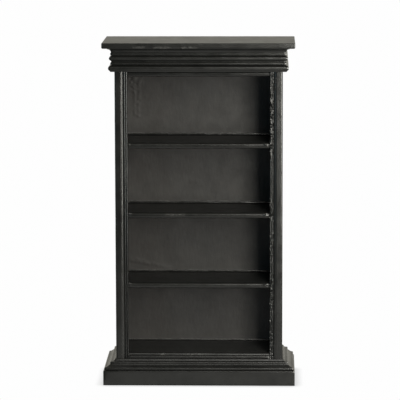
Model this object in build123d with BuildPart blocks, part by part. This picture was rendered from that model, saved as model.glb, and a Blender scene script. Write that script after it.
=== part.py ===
from build123d import *
import os

# A miniature open bookcase in the 1:12 dolls house scale, made of small glued wooden pieces.
# Millimetres, +Z up. The origin is on the ground, in the middle of the footprint, and the open
# front faces -Y. "Projection" is a distance outward from the carcass faces.

# ---- driving dimensions ----
height = 178.0
case_width = 86.5           # across the two side panels
case_depth = 38.3           # front face of the stiles to the back face
top_overhang = 6.25         # top board beyond the carcass, front and sides
plinth_overhang = 6.45      # plinth beyond the carcass, front and sides

top_board_thickness = 2.9
side_thickness = 3.2
back_thickness = 1.6
shelf_thickness = 2.9
dado_depth = 0.8            # housings in the side panels for the boards
rabbet_width = 1.6          # rebate in the side panels for the back panel

stile_width = 6.65
stile_thickness = 2.4

shelf_tops = {"shelf_lower": 52.5, "shelf_middle": 89.3, "shelf_upper": 125.7}
floor_top = 15.4
case_top_underside = 160.1
base_rail_top = 14.35

plinth_height = 7.65
base_moulding_height = 5.2
cornice_height = 12.2

edge_ease = 0.3             # sanded arrises of the flat boards
board_lower_arris = 0.75    # rounding under the front and side edges of the top board
nose_radius = 1.2           # rounded front edges of the shelves

# ---- places worked out from them ----
total_depth = case_depth + plinth_overhang
y_front = -total_depth / 2 + plinth_overhang    # front face of the stiles
y_back = total_depth / 2
y_carcass = y_front + stile_thickness           # front edges of the side panels and the boards
y_panel = y_back - back_thickness               # front face of the back panel
half_width = case_width / 2
half_inside = half_width - side_thickness
half_opening = half_width - stile_width
cornice_top = height - top_board_thickness

os.makedirs("parts", exist_ok=True)


def write(sub_part, name):
    """Label a finished piece and write its STEP file."""
    sub_part.part.label = name
    export_step(sub_part.part, f"parts/{name}.step")


# ---- sections of the mouldings, drawn as (projection, height) ----
# Cornice: cove, fillet, bead, fillet and torus, downward from the underside of the top board. Each
# pair of levels is where a member begins and ends, and a V groove parts each member from the next.
cove_lip = 0.4
cove_radius = 2.0
neck = 1.55
cove_foot = -cove_lip - cove_radius
upper_fillet = (-2.55, -3.4)
bead = (-4.15, -6.35)
lower_fillet = (-7.55, -8.4)
torus = (-8.95, -11.6)
groove_root = 1.3
fillet_face = 1.95
bead_root = 1.8
bead_face = 2.6
torus_root = (1.95, 2.25)
torus_face = 3.05

with BuildSketch() as cornice_section:
    with BuildLine():
        Polyline((0, 0), (neck + cove_radius, 0), (neck + cove_radius, -cove_lip))
        RadiusArc((neck + cove_radius, -cove_lip), (neck, cove_foot), -cove_radius)
        Polyline(
            (neck, cove_foot),
            (fillet_face, upper_fillet[0]),
            (fillet_face, upper_fillet[1]),
            (groove_root, (upper_fillet[1] + bead[0]) / 2),
            (bead_root, bead[0]),
        )
        ThreePointArc((bead_root, bead[0]), (bead_face, sum(bead) / 2), (bead_root, bead[1]))
        Polyline(
            (bead_root, bead[1]),
            (groove_root, (bead[1] + lower_fillet[0]) / 2),
            (fillet_face, lower_fillet[0]),
            (fillet_face, lower_fillet[1]),
            (groove_root, (lower_fillet[1] + torus[0]) / 2),
            (torus_root[0], torus[0]),
        )
        ThreePointArc(
            (torus_root[0], torus[0]), (torus_face, sum(torus) / 2), (torus_root[1], torus[1])
        )
        Polyline((torus_root[1], torus[1]), (torus_root[0], -cornice_height), (0, -cornice_height), (0, 0))
    make_face()

# Base moulding: two round nosings that step out downward, each under a hollow, upward from the top
# of the plinth. A nosing is (projection, underside, top).
nosing_radius = 0.5
lower_nosing = (5.95, 0.7, 1.65)
upper_nosing = (3.05, 3.25, 4.15)
base_foot = 5.6
hollow_top = (2.8, upper_nosing[1] - 0.25)
hollow_middle = (3.85, 2.25)
hollow_foot = (4.9, lower_nosing[2])
cap_foot = (1.7, upper_nosing[2])
cap_middle = (1.0, 4.55)
cap_top = (0.75, base_moulding_height)


def nosing_corner(nosing):
    """The two ends of the rounded upper corner of a nosing."""
    projection, _, top = nosing
    return (projection, top - nosing_radius), (projection - nosing_radius, top)


with BuildSketch() as base_moulding_section:
    with BuildLine():
        lower_face, lower_shelf = nosing_corner(lower_nosing)
        upper_face, upper_shelf = nosing_corner(upper_nosing)
        Polyline(
            (0, 0), (base_foot, 0), (base_foot, lower_nosing[1] - 0.3), lower_nosing[:2], lower_face
        )
        RadiusArc(lower_face, lower_shelf, -nosing_radius)
        Line(lower_shelf, hollow_foot)
        ThreePointArc(hollow_foot, hollow_middle, hollow_top)
        Polyline(hollow_top, upper_nosing[:2], upper_face)
        RadiusArc(upper_face, upper_shelf, -nosing_radius)
        Line(upper_shelf, cap_foot)
        ThreePointArc(cap_foot, cap_middle, cap_top)
        Polyline(cap_top, (0, base_moulding_height), (0, 0))
    make_face()

# Plinth: a plain board with an eased top arris.
with BuildSketch() as plinth_section:
    with BuildLine():
        arris_foot = (plinth_overhang, plinth_height - edge_ease)
        arris_top = (plinth_overhang - edge_ease, plinth_height)
        Polyline((0, 0), (plinth_overhang, 0), arris_foot)
        RadiusArc(arris_foot, arris_top, -edge_ease)
        Polyline(arris_top, (0, plinth_height), (0, 0))
    make_face()

# A moulding runs across the front and returns along both sides, with a mitre at each front corner.
mitre_left = Plane(origin=(-half_width, y_front, 0), z_dir=(1, -1, 0))
mitre_right = Plane(origin=(half_width, y_front, 0), z_dir=(-1, -1, 0))
mitre_room = 2 * plinth_overhang    # spare length that the mitre cuts take off


def make_front_run(section, base_height):
    """Extrude a section across the front and mitre both ends."""
    end_plane = Plane(
        origin=(half_width + mitre_room, y_front, base_height), x_dir=(0, -1, 0), z_dir=(-1, 0, 0)
    )
    with BuildPart() as run:
        with BuildSketch(end_plane):
            add(section.sketch)
        extrude(amount=case_width + 2 * mitre_room)
        split(bisect_by=mitre_left, keep=Keep.TOP)
        split(bisect_by=mitre_right, keep=Keep.TOP)
    return run


def make_left_return(section, base_height):
    """Extrude a section along the left side, mitred at the front and square at the back."""
    end_plane = Plane(
        origin=(-half_width, y_front - mitre_room, base_height), x_dir=(-1, 0, 0), z_dir=(0, 1, 0)
    )
    with BuildPart() as run:
        with BuildSketch(end_plane):
            add(section.sketch)
        extrude(amount=case_depth + mitre_room)
        split(bisect_by=mitre_left, keep=Keep.BOTTOM)
    return run


mouldings = (
    ("plinth", plinth_section, 0),
    ("base_moulding", base_moulding_section, plinth_height),
    ("cornice", cornice_section, cornice_top),
)

for name, section, base_height in mouldings:
    write(make_front_run(section, base_height), f"{name}_front")
    left_return = make_left_return(section, base_height)
    write(left_return, f"{name}_left")
    with BuildPart() as right_return:
        mirror(left_return.part, about=Plane.YZ)
    write(right_return, f"{name}_right")


# ---- top board ----
with BuildPart() as top_board:
    with BuildSketch(Plane.XY.offset(cornice_top)):
        with Locations((0, y_back)):
            Rectangle(
                case_width + 2 * top_overhang,
                case_depth + top_overhang,
                align=(Align.CENTER, Align.MAX),
            )
    extrude(amount=top_board_thickness)
    for level, radius in ((0, board_lower_arris), (-1, edge_ease)):
        level_edges = top_board.edges().filter_by(Plane.XY).group_by(Axis.Z)[level]
        outer_edges = level_edges.group_by(Axis.Y)[:-1]
        fillet([edge for group in outer_edges for edge in group], radius)
write(top_board, "top_board")


# ---- side panels, housed for the boards and rebated for the back panel ----
board_levels = [
    floor_top - shelf_thickness,
    *[top - shelf_thickness for top in shelf_tops.values()],
    case_top_underside,
]

with BuildPart() as side_panel_left:
    with BuildSketch(Plane.YZ.offset(-half_width)):
        with Locations((y_carcass, 0)):
            Rectangle(y_back - y_carcass, cornice_top, align=(Align.MIN, Align.MIN))
    extrude(amount=side_thickness)
    with BuildSketch(Plane.YZ.offset(-half_inside)):
        for level in board_levels:
            with Locations((y_carcass, level)):
                Rectangle(y_panel - y_carcass, shelf_thickness, align=(Align.MIN, Align.MIN))
    extrude(amount=-dado_depth, mode=Mode.SUBTRACT)
    with BuildSketch(Plane.YZ.offset(-half_inside)):
        with Locations((y_panel, 0)):
            Rectangle(back_thickness, cornice_top, align=(Align.MIN, Align.MIN))
    extrude(amount=-rabbet_width, mode=Mode.SUBTRACT)
write(side_panel_left, "side_panel_left")

with BuildPart() as side_panel_right:
    mirror(side_panel_left.part, about=Plane.YZ)
write(side_panel_right, "side_panel_right")


# ---- back panel, set in the rebates ----
with BuildPart() as back_panel:
    with BuildSketch(Plane.XZ.offset(-y_back)):
        Rectangle(2 * (half_inside + rabbet_width), cornice_top, align=(Align.CENTER, Align.MIN))
    extrude(amount=back_thickness)
write(back_panel, "back_panel")


# ---- boards across the carcass, with rounded front edges ----
board_undersides = {"floor_board": floor_top - shelf_thickness, "case_top": case_top_underside}
for name, top in shelf_tops.items():
    board_undersides[name] = top - shelf_thickness

for name, underside in board_undersides.items():
    with BuildPart() as board:
        with BuildSketch(Plane.XY.offset(underside)):
            with Locations((0, y_carcass)):
                Rectangle(
                    2 * (half_inside + dado_depth),
                    y_panel - y_carcass,
                    align=(Align.CENTER, Align.MIN),
                )
        extrude(amount=shelf_thickness)
        fillet(board.edges().filter_by(Axis.X).group_by(Axis.Y)[0], nose_radius)
    write(board, name)


# ---- face frame: moulded stiles, and the rails between them ----
# Stile: a flat outer band, then an ovolo and two beads stepping down to the opening, drawn as
# (distance from the outer edge, height above the glued back face).
flat_band = 3.2
outer_arris = 0.6
ovolo_end = 4.6
bead_split = 5.6
bead_rise = 0.42
ovolo_end_level = stile_thickness - 0.75
first_bead = stile_thickness - 0.85
second_bead = stile_thickness - 0.95

with BuildSketch() as stile_section:
    with BuildLine():
        band_arris = (outer_arris, stile_thickness)
        quirk = (flat_band + 0.05, stile_thickness - 0.12)
        Line((0, 0), (0, stile_thickness - outer_arris))
        RadiusArc((0, stile_thickness - outer_arris), band_arris, outer_arris)
        Polyline(band_arris, (flat_band, stile_thickness), quirk)
        ThreePointArc(quirk, (4.15, stile_thickness - 0.28), (ovolo_end, ovolo_end_level))
        Line((ovolo_end, ovolo_end_level), (ovolo_end, first_bead))
        ThreePointArc((ovolo_end, first_bead), (5.1, first_bead + bead_rise), (bead_split, first_bead))
        Line((bead_split, first_bead), (bead_split, second_bead))
        ThreePointArc(
            (bead_split, second_bead), (6.12, second_bead + bead_rise), (stile_width, second_bead)
        )
        Polyline((stile_width, second_bead), (stile_width, 0), (0, 0))
    make_face()

with BuildPart() as stile_left:
    with BuildSketch(Plane(origin=(-half_width, y_carcass, 0), x_dir=(1, 0, 0), z_dir=(0, 0, -1))):
        add(stile_section.sketch)
    extrude(amount=-cornice_top)
write(stile_left, "stile_left")

with BuildPart() as stile_right:
    mirror(stile_left.part, about=Plane.YZ)
write(stile_right, "stile_right")

# Each rail fills the space between the stiles. The base rail shows a rounded nose above the base
# moulding, with a quirk under it.
with BuildPart() as header_rail:
    with BuildSketch(Plane.XZ.offset(-y_carcass)):
        with Locations((0, case_top_underside + shelf_thickness)):
            Rectangle(
                2 * half_opening,
                cornice_top - case_top_underside - shelf_thickness,
                align=(Align.CENTER, Align.MIN),
            )
    extrude(amount=stile_thickness)
write(header_rail, "header_rail")

rail_nose_radius = 0.5
quirk_depth = 0.7
quirk_bottom = plinth_height + base_moulding_height
quirk_top = base_rail_top - 1.1

with BuildPart() as base_rail:
    with BuildSketch(Plane.XZ.offset(-y_carcass)):
        Rectangle(2 * half_opening, base_rail_top, align=(Align.CENTER, Align.MIN))
    extrude(amount=stile_thickness)
    front_top_edge = base_rail.edges().filter_by(Axis.X).group_by(Axis.Y)[0].sort_by(Axis.Z)[-1]
    fillet(front_top_edge, rail_nose_radius)
    with BuildSketch(Plane.XZ.offset(-y_front)):
        with Locations((0, quirk_bottom)):
            Rectangle(2 * half_opening, quirk_top - quirk_bottom, align=(Align.CENTER, Align.MIN))
    extrude(amount=-quirk_depth, mode=Mode.SUBTRACT)
write(base_rail, "base_rail")
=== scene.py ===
import math

import bpy
import numpy as np
from mathutils import Matrix, Vector


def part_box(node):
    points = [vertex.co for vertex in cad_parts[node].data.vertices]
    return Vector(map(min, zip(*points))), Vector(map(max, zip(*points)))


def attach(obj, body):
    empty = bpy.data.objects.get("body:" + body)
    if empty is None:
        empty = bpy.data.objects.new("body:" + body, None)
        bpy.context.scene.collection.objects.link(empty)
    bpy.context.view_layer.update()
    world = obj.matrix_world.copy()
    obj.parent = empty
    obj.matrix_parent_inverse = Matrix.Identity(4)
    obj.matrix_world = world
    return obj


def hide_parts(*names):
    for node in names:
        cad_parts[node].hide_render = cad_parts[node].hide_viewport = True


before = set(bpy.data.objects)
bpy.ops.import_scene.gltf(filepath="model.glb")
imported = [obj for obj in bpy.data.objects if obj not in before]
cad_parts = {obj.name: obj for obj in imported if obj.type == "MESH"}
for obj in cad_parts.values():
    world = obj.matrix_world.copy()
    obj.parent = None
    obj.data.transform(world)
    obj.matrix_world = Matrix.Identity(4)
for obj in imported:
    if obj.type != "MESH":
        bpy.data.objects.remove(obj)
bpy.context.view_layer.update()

# A miniature bookcase in black paint. Lengths are in metres, so sizes in millimetres carry MM.
MM = 0.001
scene = bpy.context.scene
scene.view_settings.view_transform = "Standard"

# ---- places, read from the frame ----
half_width = -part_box("stile_left")[0].x
half_opening = -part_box("stile_left")[1].x
half_inside = -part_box("side_panel_left")[1].x
half_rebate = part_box("back_panel")[1].x
y_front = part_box("stile_left")[0].y
y_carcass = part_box("shelf_middle")[0].y
y_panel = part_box("back_panel")[0].y
y_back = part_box("back_panel")[1].y
shelves = ("shelf_lower", "shelf_middle", "shelf_upper")
boards = ("floor_board", *shelves, "case_top")


# ---- camera ----
def make_camera():
    """A long lens a little to the right of the middle, looking down at the front."""
    place = Vector((36.5 * MM, y_front - 1350.3 * MM, 291.9 * MM))
    down, to_left, roll = math.radians(8.234), math.radians(1.522), math.radians(-0.129)
    data = bpy.data.cameras.new("camera")
    data.lens = 237.9
    data.sensor_width = 36
    data.clip_start = 0.05
    data.clip_end = 30
    camera = bpy.data.objects.new("camera", data)
    scene.collection.objects.link(camera)
    turned = Matrix.Rotation(to_left, 4, "Z") @ Matrix.Rotation(math.radians(90) - down, 4, "X")
    camera.matrix_world = Matrix.Translation(place) @ turned @ Matrix.Rotation(roll, 4, "Z")
    scene.camera = camera


make_camera()


# ---- node materials ----
range_sockets = ("From Min", "From Max", "To Min", "To Max")


class NodeGraph:
    """A material's node tree, with short calls for the nodes that the paints share."""

    def __init__(self, name):
        self.material = bpy.data.materials.new(name)
        self.material.use_nodes = True
        self.tree = self.material.node_tree
        self.shader = self.tree.nodes["Principled BSDF"]

    def add(self, kind, **values):
        node = self.tree.nodes.new(kind)
        for key, value in values.items():
            setattr(node, key, value)
        return node

    def link(self, source, target):
        self.tree.links.new(source, target)

    def noise(self, wavelength, detail, rough, shift=0.0):
        """Noise with its own wavelength along each axis. A shift sets one noise apart from another."""
        place = self.add("ShaderNodeTexCoord").outputs["Object"]
        scaled = self.add("ShaderNodeMapping")
        scaled.inputs["Location"].default_value = (shift, shift, shift)
        scaled.inputs["Scale"].default_value = [1 / w for w in wavelength]
        self.link(place, scaled.inputs["Vector"])
        noise = self.add("ShaderNodeTexNoise")
        noise.inputs["Scale"].default_value = 1.0
        noise.inputs["Detail"].default_value = detail
        noise.inputs["Roughness"].default_value = rough
        self.link(scaled.outputs["Vector"], noise.inputs["Vector"])
        return noise.outputs["Fac"]

    def spread(self, value, low, high, new_low=0.0, new_high=1.0):
        """The value's range low..high spread over new_low..new_high, and clamped."""
        node = self.add("ShaderNodeMapRange")
        for socket, number in zip(range_sockets, (low, high, new_low, new_high)):
            node.inputs[socket].default_value = number
        self.link(value, node.inputs["Value"])
        return node.outputs["Result"]

    def maths(self, operation, first, second):
        """Two values put together. Each is a number or a socket."""
        node = self.add("ShaderNodeMath", operation=operation)
        for socket, term in zip(node.inputs, (first, second)):
            if isinstance(term, (int, float)):
                socket.default_value = term
            else:
                self.link(term, socket)
        return node.outputs["Value"]

    def near(self, centre, reach):
        """One about a point, and falling to nothing at the reach along each axis."""
        moved = self.add("ShaderNodeMapping")
        moved.inputs["Scale"].default_value = [1 / length for length in reach]
        moved.inputs["Location"].default_value = [-c / length for c, length in zip(centre, reach)]
        self.link(self.add("ShaderNodeTexCoord").outputs["Object"], moved.inputs["Vector"])
        distance = self.add("ShaderNodeVectorMath", operation="LENGTH")
        self.link(moved.outputs["Vector"], distance.inputs[0])
        return self.spread(distance.outputs["Value"], 0.3, 1.0, 1.0, 0.0)

    def blend(self, share, first, second):
        """A weighted sum of two values, with this share of the first."""
        parts = self.maths("MULTIPLY", first, share), self.maths("MULTIPLY", second, 1 - share)
        return self.maths("ADD", *parts)

    def mix_colour(self, factor, first, second):
        """From the first colour to the second. The first may be a socket."""
        node = self.add("ShaderNodeMix", data_type="RGBA")
        self.link(factor, node.inputs["Factor"])
        first_socket, second_socket, result = node.inputs[6], node.inputs[7], node.outputs[2]
        if isinstance(first, tuple):
            first_socket.default_value = (*first, 1)
        else:
            self.link(first, first_socket)
        second_socket.default_value = (*second, 1)
        return result

    def bump(self, height, distance, under=None):
        """A normal bent by a height of up to this distance, on top of another bump if there is one."""
        node = self.add("ShaderNodeBump")
        node.inputs["Strength"].default_value = 1.0
        node.inputs["Distance"].default_value = distance
        self.link(height, node.inputs["Height"])
        if under is not None:
            self.link(under, node.inputs["Normal"])
        return node.outputs["Normal"]


def paint(name, dark, light, gloss, brush, pool=0.005 * MM, groove=0.0007 * MM, scuffs_and_highlights=(), dusty=0.10):
    """Brushed paint. gloss is the range of its roughness, brush the wavelength of its marks along each
    axis, and pool and groove the depths of its unevenness and of the marks. The pale places are given as
    (centre, reach): worn places on the boards, and painted highlight lines along the joints on the back
    panel. dusty is how much duller the level faces are."""
    graph = NodeGraph(name)
    blotches = graph.spread(graph.noise((9 * MM,) * 3, 4, 0.6), 0.35, 0.65)
    marks = graph.noise(brush, 4, 0.6, 3.7)

    # Colour: blotches and brush marks, lighter arrises (rubbed wear and painted highlight), and pale
    # places (worn scuffs on the boards, painted highlight lines on the back panel).
    colour = graph.mix_colour(graph.blend(0.6, blotches, marks), dark, light)
    # Lighter paint on convex arrises, broken up by noise: partly rubbed wear, partly a painted highlight.
    arrises = graph.spread(graph.add("ShaderNodeNewGeometry").outputs["Pointiness"], 0.53, 0.62)
    wear_and_highlight_patches = graph.spread(graph.noise((4 * MM,) * 3, 3, 0.6, 5.3), 0.45, 0.65)
    rubbed_and_highlit = tuple(1.7 * c for c in light)
    colour = graph.mix_colour(graph.maths("MULTIPLY", arrises, wear_and_highlight_patches), colour, rubbed_and_highlit)
    if scuffs_and_highlights:
        patchy_wear_and_highlight = graph.spread(graph.noise((1.3 * MM, 0.9 * MM, 0.6 * MM), 3, 0.6, 2.1), 0.40, 0.70)
        places = graph.near(*scuffs_and_highlights[0])
        for scuff in scuffs_and_highlights[1:]:
            places = graph.maths("MAXIMUM", places, graph.near(*scuff))
        # The pale colour stands for worn paint on the boards, and for painted highlight lines on the back
        # panel.
        colour = graph.mix_colour(graph.maths("MULTIPLY", patchy_wear_and_highlight, places), colour, chalky_wear_and_highlight)
    graph.link(colour, graph.shader.inputs["Base Color"])

    # Roughness: patches and brush marks, and dust on the faces that look up.
    patches = graph.spread(graph.noise((6 * MM,) * 3, 3, 0.6, 7.9), 0.3, 0.7)
    roughness = graph.spread(graph.blend(0.6, patches, marks), 0.2, 0.8, *gloss)
    facing = graph.add("ShaderNodeSeparateXYZ")
    graph.link(graph.add("ShaderNodeNewGeometry").outputs["Normal"], facing.inputs[0])
    dust = graph.spread(facing.outputs["Z"], 0.7, 0.97, 0.0, dusty)
    graph.link(graph.maths("ADD", roughness, dust), graph.shader.inputs["Roughness"])

    # Relief: pooled paint, then the brush marks, then grit.
    normal = graph.bump(graph.noise((1.6 * MM,) * 3, 2, 0.5, 1.3), pool)
    normal = graph.bump(marks, groove, normal)
    normal = graph.bump(graph.noise((0.35 * MM,) * 3, 2, 0.5, 9.1), 0.0012 * MM, normal)
    graph.link(normal, graph.shader.inputs["Normal"])
    return graph.material


black = (0.0031, 0.0032, 0.0030), (0.0078, 0.0079, 0.0073)
brownish_black = (0.0066, 0.0056, 0.0052), (0.0142, 0.0120, 0.0110)
chalky_wear_and_highlight = (0.050, 0.049, 0.046)
satin, dull = (0.20, 0.27), (0.60, 0.70)
fine, long = 0.5 * MM, 14 * MM
along_x, along_y, along_z = (long, fine, fine), (fine, long, fine), (fine, fine, long)

# Pale worn places on the lower edge of the top board and on the noses of two boards, with the place
# of each along the front and how far it runs, in millimetres.
top_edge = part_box("top_board")[0]
nose_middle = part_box("shelf_middle")[1].z - 0.9 * MM
nose_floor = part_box("floor_board")[1].z - 0.6 * MM
scuffs_and_highlights = [((x * MM, y, z), (reach * MM, 1.2 * MM, 0.9 * MM)) for x, y, z, reach in (
    (-30, top_edge.y, top_edge.z + 0.7 * MM, 5),
    (-18, top_edge.y, top_edge.z + 0.6 * MM, 6),
    (-6, top_edge.y, top_edge.z + 0.6 * MM, 7),
    (-14, y_carcass, nose_middle, 5),
    (-9, y_carcass, nose_middle, 3),
    (-19, y_carcass, nose_floor, 2.2),
    (-2, y_carcass, nose_floor, 8),
)]

# The size of the paint pooled behind each board, the painted highlight line on the panel just above it,
# and one pale speck.
joint_radii = {
    "shelf_upper": 1.15 * MM,
    "shelf_middle": 1.1 * MM,
    "shelf_lower": 0.9 * MM,
    "floor_board": 0.6 * MM,
}
highlight_lines_and_speck = [((0, y_panel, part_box(board)[1].z + radius + 0.2 * MM), (130 * MM, 1 * MM, 0.5 * MM))
               for board, radius in joint_radii.items()]
speck = (14 * MM, y_panel, 130.1 * MM), (0.6 * MM, 1 * MM, 0.6 * MM)
highlight_lines_and_speck.append(speck)

moulding_x = paint("moulding_paint_x", *black, satin, along_x)
moulding_y = paint("moulding_paint_y", *black, satin, along_y)
moulding_z = paint("moulding_paint_z", *black, satin, along_z)
board_x = paint("board_paint_x", *black, satin, along_x, scuffs_and_highlights=scuffs_and_highlights)
shelf_x = paint("shelf_paint_x", *black, satin, along_x, scuffs_and_highlights=scuffs_and_highlights, dusty=0.25)
board_z = paint("board_paint_z", *black, satin, along_z)
# On the back panel the pale places are painted highlight lines along the board joints, and one pale speck.
panel_z = paint("back_panel_paint", *brownish_black, dull, (1.1 * MM, fine, 3.5 * MM),
                pool=0.03 * MM, groove=0.05 * MM, scuffs_and_highlights=highlight_lines_and_speck)


# ---- shapes ----
def end_outline(node, axis, side):
    """The outline of a CAD node's flat end face, in order, as points along the two other axes. Edges
    that two faces share cancel out, and the rest are followed round."""
    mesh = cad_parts[node].data
    corners = np.array([v.co for v in mesh.vertices])
    reach = side * corners[:, axis]
    on_end = reach > reach.max() - 1e-6
    keys = [tuple(key) for key in np.round(corners * 1e7).astype(int)]
    following = {}
    for polygon in mesh.polygons:
        loop = list(polygon.vertices)
        if not all(on_end[loop]):
            continue
        for first, second in zip(loop, loop[1:] + loop[:1]):
            a, b = keys[first], keys[second]
            if following.get(b, {}).pop(a, None) is None:
                following.setdefault(a, {})[b] = corners[first]
    start = next(key for key, ways in following.items() if ways)
    outline, key = [], start
    while not outline or key != start:
        key, corner = next(iter(following[key].items()))
        outline.append(np.delete(corner, axis))
    return np.array(outline)


def outward(outline):
    """Unit normals that point out of a closed outline."""
    along = np.roll(outline, -1, 0) - np.roll(outline, 1, 0)
    x, y = outline.T
    turn = np.sign(np.sum(x * np.roll(y, -1) - np.roll(x, -1) * y))
    normals = turn * np.column_stack([along[:, 1], -along[:, 0]])
    return normals / np.linalg.norm(normals, axis=1)[:, None]


def eased(outline, softness, widest=0.8 * MM, turn=9):
    """The outline with its arrises rounded as a coat of paint rounds them, and divided so that it has
    a point at least every widest metres and every few degrees of turn."""
    spacing = softness / 2
    closed = np.vstack([outline, outline[:1]])
    along = np.concatenate([[0], np.cumsum(np.hypot(*np.diff(closed, axis=0).T))])
    places = np.linspace(0, along[-1], int(along[-1] / spacing), endpoint=False)
    points = np.column_stack([np.interp(places, along, closed[:, k]) for k in (0, 1)])
    for _ in range(8):
        points = (np.roll(points, 1, 0) + 2 * points + np.roll(points, -1, 0)) / 4
    steps = np.roll(points, -1, 0) - points
    heading = np.unwrap(np.arctan2(steps[:, 1], steps[:, 0]))
    kept, last = [0], 0
    for index in range(1, len(points)):
        turned = abs(heading[index] - heading[last]) > math.radians(turn)
        if turned or (index - last) * spacing > widest:
            kept.append(index)
            last = index
    return points[kept]


def ripples(points, wavelength, seed, waves=28):
    """Smooth random heights of about unit size, the same on each run. A wavelength may be one length
    or one for each axis."""
    draw = np.random.default_rng(seed)
    heading = draw.normal(size=(waves, 3))
    heading /= np.linalg.norm(heading, axis=1)[:, None]
    heading *= draw.uniform(0.6, 1.6, waves)[:, None]
    phase = draw.uniform(0, 2 * math.pi, waves)
    return np.sin(2 * math.pi * (points / wavelength) @ heading.T + phase).sum(1) * math.sqrt(2 / waves)


def hand_painted(points):
    """How far a painted moulding stands off its true section."""
    return 0.007 * MM * ripples(points, 7 * MM, 1) + 0.0015 * MM * ripples(points, 2.2 * MM, 2)


def straight(axis, low, high):
    """A placer: it sets an outline square across a straight run, at a fraction of its length."""
    others = [k for k in range(3) if k != axis]

    def place(outline, fraction):
        points = np.empty((len(outline), 3))
        points[:, others] = outline
        points[:, axis] = low + (high - low) * fraction
        return points

    return place


def across_front(outline, fraction):
    """Place a moulding's (projection, height) outline across the front, between its mitres."""
    projection, height = outline.T
    return np.column_stack([(2 * fraction - 1) * (half_width + projection), y_front - projection, height])


def along_side(side):
    """A placer for a return, from its mitre to the back."""

    def place(outline, fraction):
        projection, height = outline.T
        mitre = y_front - projection
        reached = mitre + (y_back - mitre) * fraction
        return np.column_stack([side * (half_width + projection), reached, height])

    return place


def mesh_from_rings(name, rings):
    """A closed mesh through rings of points, with a face over each end and its faces turned outwards."""
    count, size, _ = rings.shape
    ring, point = np.meshgrid(np.arange(count - 1) * size, np.arange(size), indexing="ij")
    after = (point + 1) % size
    quads = np.stack([ring + point, ring + after, ring + size + after, ring + size + point], -1)
    quads = quads.reshape(-1, 4)
    faces = quads.tolist()
    faces.append(list(range(size))[::-1])
    faces.append(list(range((count - 1) * size, count * size)))
    mesh = bpy.data.meshes.new(name)
    mesh.from_pydata(rings.reshape(-1, 3).tolist(), [], faces)
    first, second, third, fourth = (rings.reshape(-1, 3) - rings.mean((0, 1)))[quads.T]
    volume = np.sum(first * (np.cross(second, third) + np.cross(third, fourth)))
    if volume < 0:
        mesh.flip_normals()
    mesh.shade_smooth()
    mesh.set_sharp_from_angle(angle=math.radians(40))
    return mesh


def show(name, rings, material):
    """Put a mesh through these rings in the scene, as a piece of the bookcase."""
    mesh = mesh_from_rings(name, rings)
    mesh.materials.append(material)
    piece = bpy.data.objects.new(name, mesh)
    scene.collection.objects.link(piece)
    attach(piece, "root")
    return piece


def painted_run(node, outline, place, length, material, step=1.0 * MM, relief=hand_painted,
                ease=0.1 * MM, extra=()):
    """A node's visible piece: its outline swept along its length, with ends rounded over ease metres and
    a painted relief, kept inside the node's own box. Rings stand a step apart, with extra ones at the
    given fractions of the length."""
    normals = outward(outline)
    bends = np.radians([90, 60, 30])
    ends = [(ease * (1 - math.sin(a)) / length, ease * (1 - math.cos(a))) for a in bends]
    middle = np.linspace(ease / length, 1 - ease / length, max(2, round(length / step)))
    stations = [(fraction, 0.0) for fraction in (*middle, *extra)]
    stations += ends + [(1 - fraction, inset) for fraction, inset in ends]
    rings = []
    for fraction, inset in sorted(stations):
        height = relief(place(outline, fraction)) - inset
        rings.append(place(outline + normals * height[:, None], fraction))
    low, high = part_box(node)
    rings = np.clip(np.array(rings), low, high)
    piece = show(f"painted_{node}", rings, material)
    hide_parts(node)


# ---- mouldings: a front run and two returns each ----
softness = {"plinth": 0.12 * MM, "base_moulding": 0.19 * MM, "cornice": 0.12 * MM}
for kind in softness:
    section = end_outline(f"{kind}_left", 1, 1)
    section[:, 0] = -section[:, 0] - half_width
    section = eased(section, softness[kind], 0.6 * MM)
    painted_run(f"{kind}_front", section, across_front, 2 * half_width, moulding_x)
    for side, word in ((-1, "left"), (1, "right")):
        place = along_side(side)
        painted_run(f"{kind}_{word}", section, place, y_back - y_front, moulding_y)


# ---- boards and rails, which run from side to side ----
def cross_board(node, material):
    low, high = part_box(node)
    outline = eased(end_outline(node, 0, 1), 0.11 * MM, 0.9 * MM)
    painted_run(node, outline, straight(0, low.x, high.x), high.x - low.x, material)


for node in boards:
    cross_board(node, shelf_x)
for node in ("base_rail", "header_rail"):
    cross_board(node, moulding_x)


# ---- stiles ----
def beaded(points):
    """Paint with rough beads down the reeds of the right stile, in a wider band near the top."""
    height, reeds_width, wider, fade = 0.54 * MM, 2.1 * MM, 1.4 * MM, 0.4 * MM
    near_top = np.clip((points[:, 2] - 147.6 * MM) / (12 * MM), 0, 1)
    band = np.clip((half_opening + reeds_width + wider * near_top - points[:, 0]) / fade, 0, 1)
    lumps = ripples(points, (1.3 * MM, 4 * MM, 0.9 * MM), 21, 60) + 0.3 * ripples(points, 0.8 * MM, 22)
    patches = np.clip(0.75 + 0.5 * ripples(points, (60 * MM, 60 * MM, 22 * MM), 23), 0.2, 1)
    return hand_painted(points) + height * band * patches * (np.clip(lumps, 0, 1.2) - 0.35)


for node, relief, step in (("stile_left", hand_painted, 0.8 * MM), ("stile_right", beaded, 0.3 * MM)):
    low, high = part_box(node)
    outline = eased(end_outline(node, 2, 1), 0.07 * MM, 0.3 * MM)
    painted_run(node, outline, straight(2, low.z, high.z), high.z - low.z, moulding_z,
                step=step, relief=relief)


# ---- top board ----
def rounded_rectangle(low, high, radii):
    """Points round a rectangle. radii are for its corners in turn from the lowest, anticlockwise."""
    points = []
    corners = ((low[0], low[1], 180), (high[0], low[1], 270), (high[0], high[1], 0), (low[0], high[1], 90))
    for (x, y, start), radius in zip(corners, radii):
        centre_x = x + radius if x == low[0] else x - radius
        centre_y = y + radius if y == low[1] else y - radius
        for angle in np.radians(np.linspace(start, start + 90, 10)):
            points.append((centre_x + radius * math.cos(angle), centre_y + radius * math.sin(angle)))
    return np.array(points)


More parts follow.
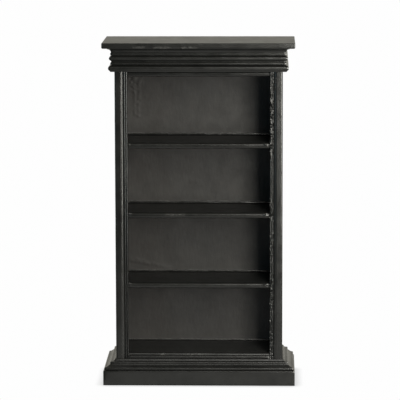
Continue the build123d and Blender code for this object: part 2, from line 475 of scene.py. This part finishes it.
def make_top_board():
    """A board with a well rounded lower arris along its front and both ends."""
    low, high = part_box("top_board")
    lower_arris, upper_arris, back_arris, corner = 0.75 * MM, 0.35 * MM, 0.2 * MM, 0.5 * MM
    length = high.x - low.x
    outline = rounded_rectangle(low.yz, high.yz, (lower_arris, back_arris, back_arris, upper_arris))

    def rounding(radius, depth):
        """How far an arris of this radius is cut back, this deep in from the board's end."""
        return radius - math.sqrt(radius**2 - max(0.0, radius - depth) ** 2)

    def place(outline, fraction):
        points = straight(0, low.x, high.x)(outline, fraction)
        depth = min(fraction, 1 - fraction) * length
        points[:, 1] = np.maximum(points[:, 1], low.y + rounding(corner, depth))
        lowest, highest = low.z + rounding(lower_arris, depth), high.z - rounding(upper_arris, depth)
        points[:, 2] = np.clip(points[:, 2], lowest, highest)
        return points

    bends = [lower_arris / length * part for part in (0.03, 0.1, 0.22, 0.4, 0.6, 0.8, 1.0)]
    extra = bends + [1 - f for f in bends]
    painted_run("top_board", eased(outline, 0.1 * MM), place, length, board_x,
                extra=extra, ease=0.01 * MM)


make_top_board()


# ---- side panels, with a rebate for the back panel ----
def make_side_panel(node, side):
    """A side, swept from front to back. Its inner face steps out where the back panel's rebate starts."""
    low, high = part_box(node)
    depth = high.y - low.y
    outline = eased(end_outline(node, 1, -1), 0.12 * MM, 1.5 * MM)
    rebate = (y_panel - low.y) / depth

    def place(outline, fraction):
        points = straight(1, low.y, high.y)(outline, fraction)
        if fraction > rebate:
            points[:, 0] = side * np.maximum(side * points[:, 0], half_rebate)
        return points

    step_width = 1e-6
    extra = [rebate - step_width, rebate + step_width]
    painted_run(node, outline, place, depth, board_z, step=1.5 * MM, extra=extra)


make_side_panel("side_panel_left", -1)
make_side_panel("side_panel_right", 1)


# ---- back panel ----
def crease(points, start, end, width):
    """A ridge of unit height along a line on the back panel, given by its ends as (x, z) in
    millimetres. It fades out over the width at each side."""
    start, end = np.array(start) * MM, np.array(end) * MM
    along = end - start
    offset = points[:, [0, 2]] - start
    fraction = np.clip(offset @ along / (along @ along), 0, 1)
    nearest = offset - fraction[:, None] * along
    return np.exp(-(np.linalg.norm(nearest, axis=1) / width) ** 2)


def brushed_grain(points):
    """Thin paint over upright grain, with two wrinkles and a blob in the top left corner, and a smear
    lower down. It all lies just under the panel's true face, so that the marks have room to stand out."""
    grain = 0.006 * MM * ripples(points, (2.2 * MM, 50 * MM, 5 * MM), 11)
    waves = 0.022 * MM * ripples(points, (14 * MM, 50 * MM, 20 * MM), 12)
    rough = 1 + 0.6 * ripples(points, 2.4 * MM, 13)
    wrinkles = crease(points, (-34.9, 156), (-34.6, 137), 0.7 * MM)
    wrinkles += crease(points, (-32.2, 155), (-32.9, 136), 0.7 * MM)
    blob = crease(points, (-36.4, 157), (-35.2, 150), 1.6 * MM) * ripples(points, 1.5 * MM, 14)
    smear = crease(points, (-38, 60.2), (-17, 54.6), 0.7 * MM)
    smear += crease(points, (-38, 58.6), (-27, 56.4), 0.5 * MM)
    marks = 0.13 * MM * wrinkles * rough + 0.20 * MM * blob + 0.09 * MM * smear * rough
    under = 0.25 * MM
    return grain + waves + marks - under


def make_back_panel():
    low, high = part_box("back_panel")
    arris, grid = 0.1 * MM, 0.56 * MM
    outline = eased(rounded_rectangle(low.xy, high.xy, (arris,) * 4), arris, grid)
    painted_run("back_panel", outline, straight(2, low.z, high.z), high.z - low.z,
                panel_z, step=grid, relief=brushed_grain)


make_back_panel()


# ---- pooled paint, behind the boards and at the ends of their noses ----
def pooled_joint(board, radius, seed):
    """A hollow fillet of thick paint along the back of a board, uneven in size."""
    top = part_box(board)[1].z
    bottom, behind = top - 0.05 * MM, y_panel + 0.4 * MM
    bends = np.radians(np.linspace(0, 90, 8))
    rings = []
    for x in np.arange(-half_inside, half_inside, 0.5 * MM):
        place = np.array([[x, 0, 0]])
        unevenness = 0.10 * ripples(place, 14 * MM, seed)[0] + 0.035 * ripples(place, 3 * MM, seed + 1)[0]
        size = radius * max(1 + unevenness, 0.25)
        arc = [(x, y_panel - size * (1 - math.cos(a)), top + size * (1 - math.sin(a))) for a in bends]
        rings.append(arc + [(x, y_panel - size, bottom), (x, behind, bottom), (x, behind, top + size)])
    show(f"pooled_paint_{board}", np.array(rings), board_x)


for seed, (board, radius) in enumerate(joint_radii.items()):
    pooled_joint(board, radius, 30 + 2 * seed)


def paint_drop(name, centre, reach, seed):
    """A lump of paint, run together at the end of a board's nose."""
    turns = np.radians(np.arange(0, 360, 15))
    rings = []
    for a in np.radians(np.linspace(4, 176, 20)):
        along = np.full(len(turns), math.cos(a))
        ring = np.column_stack([along, math.sin(a) * np.cos(turns), math.sin(a) * np.sin(turns)]) * reach
        rings.append(centre + ring * (1 + 0.10 * ripples(ring + centre, 1.1 * MM, seed)[:, None]))
    show(name, np.array(rings), board_x)


for seed, board in enumerate(shelves):
    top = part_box(board)[1].z
    left = (-half_opening + 0.75 * MM, y_carcass + 0.15 * MM, top - 0.85 * MM)
    right = (half_opening - 2.0 * MM, y_carcass + 0.45 * MM, top - 1.25 * MM)
    paint_drop(f"paint_drop_left_{board}", left, (1.0 * MM, 0.5 * MM, 0.95 * MM), 50 + seed)
    paint_drop(f"paint_drop_right_{board}", right, (2.1 * MM, 0.65 * MM, 1.25 * MM), 60 + seed)


# ---- floor and light ----
def make_floor():
    """A plain pale table, just below the bookcase. It glows evenly, with a painted contact shadow: the
    glow is dimmer close under an edge.
    """
    reach, sunk = 8.0, 0.02 * MM
    mesh = bpy.data.meshes.new("floor")
    corners = [(-reach, -reach), (reach, -reach), (reach, reach), (-reach, reach)]
    mesh.from_pydata([(x, y, -sunk) for x, y in corners], [], [(0, 1, 2, 3)])
    floor = bpy.data.objects.new("floor", mesh)
    scene.collection.objects.link(floor)
    graph = NodeGraph("floor")
    # Ambient occlusion dims the floor's glow under the bookcase's edges: a painted contact shadow.
    painted_contact_shadow = graph.add("ShaderNodeAmbientOcclusion", samples=8)
    painted_contact_shadow.inputs["Distance"].default_value = 5 * MM
    glow_with_painted_shadow = graph.spread(painted_contact_shadow.outputs["AO"], 0.3, 1.0, 0.55, 0.99)
    graph.link(glow_with_painted_shadow, graph.shader.inputs["Emission Strength"])
    graph.shader.inputs["Emission Color"].default_value = (1, 1, 1, 1)
    graph.shader.inputs["Base Color"].default_value = (0, 0, 0, 1)
    graph.shader.inputs["Specular IOR Level"].default_value = 0
    mesh.materials.append(graph.material)
    floor.visible_glossy = False
    floor.visible_shadow = False


def make_world():
    """A studio that is white behind the bookcase, dim overhead and dark in front."""
    front, back, top = 0.01, 0.60, 0.22
    world = bpy.data.worlds.new("studio")
    scene.world = world
    world.use_nodes = True
    tree = world.node_tree
    background = tree.nodes["Background"]
    background.inputs["Color"].default_value = (1.03, 1.0, 0.88, 1)
    heading = tree.nodes.new("ShaderNodeTexCoord")
    split = tree.nodes.new("ShaderNodeSeparateXYZ")
    tree.links.new(heading.outputs["Generated"], split.inputs[0])

    def spread(value, low, high, new_low, new_high):
        node = tree.nodes.new("ShaderNodeMapRange")
        node.interpolation_type = "SMOOTHSTEP"
        for socket, number in zip(range_sockets, (low, high, new_low, new_high)):
            node.inputs[socket].default_value = number
        tree.links.new(value, node.inputs["Value"])
        return node.outputs["Result"]

    overhead = spread(split.outputs["Z"], 0.15, 0.75, 0.0, 1.0)
    behind = spread(split.outputs["Y"], -0.3, 0.5, front, back)
    total = tree.nodes.new("ShaderNodeMix")
    tree.links.new(overhead, total.inputs["Factor"])
    tree.links.new(behind, total.inputs["A"])
    total.inputs["B"].default_value = top
    tree.links.new(total.outputs["Result"], background.inputs["Strength"])


def area_light(name, place, aim, width, tall, power, colour):
    """A soft box at a place, turned to the point it is aimed at. The camera doesn't see it."""
    data = bpy.data.lights.new(name, "AREA")
    data.shape = "RECTANGLE"
    data.size = width
    data.size_y = tall
    data.energy = power
    data.color = colour
    light = bpy.data.objects.new(name, data)
    scene.collection.objects.link(light)
    light.location = place
    light.rotation_mode = "QUATERNION"
    light.rotation_quaternion = (aim - place).to_track_quat("-Z", "Y")
    light.visible_camera = False


def level_light(name, azimuth, height, distance, **settings):
    """A soft box that shines level. Azimuth 0 is straight in front, and grows to the right."""
    angle = math.radians(azimuth)
    aim = Vector((0, y_front, height))
    area_light(name, aim + distance * Vector((math.sin(angle), -math.cos(angle), 0)), aim, **settings)


make_floor()
make_world()
up = Vector((0, 0, 1))
level_light("key", azimuth=21.5, height=0.25, distance=0.45, width=0.13, tall=0.46, power=3.5,
            colour=(1.0, 0.985, 0.90))
level_light("left", azimuth=-35, height=0.15, distance=0.6, width=0.2, tall=0.3, power=0.22,
            colour=(0.5, 0.95, 1.2))
above, low_front = Vector((0.12, -0.42, 0.42)), Vector((0, y_front, 0.06))
area_light("over", above, low_front, width=0.16, tall=0.16, power=0.55, colour=(1.0, 0.985, 0.92))

# A strip close above the base, which picks out its nosings.
strip = Vector((0.01, y_front - 0.014, 0.045))
area_light("foot", strip, strip - up, width=0.11, tall=0.014, power=0.011, colour=(1.0, 0.99, 0.95))

# The white table in front of the bookcase, as its paint mirrors it.
table = Vector((0.06, y_front - 0.15, 0.0002))
area_light("table", table, table + up, width=0.22, tall=0.286, power=0.115, colour=(1.0, 0.99, 0.93))
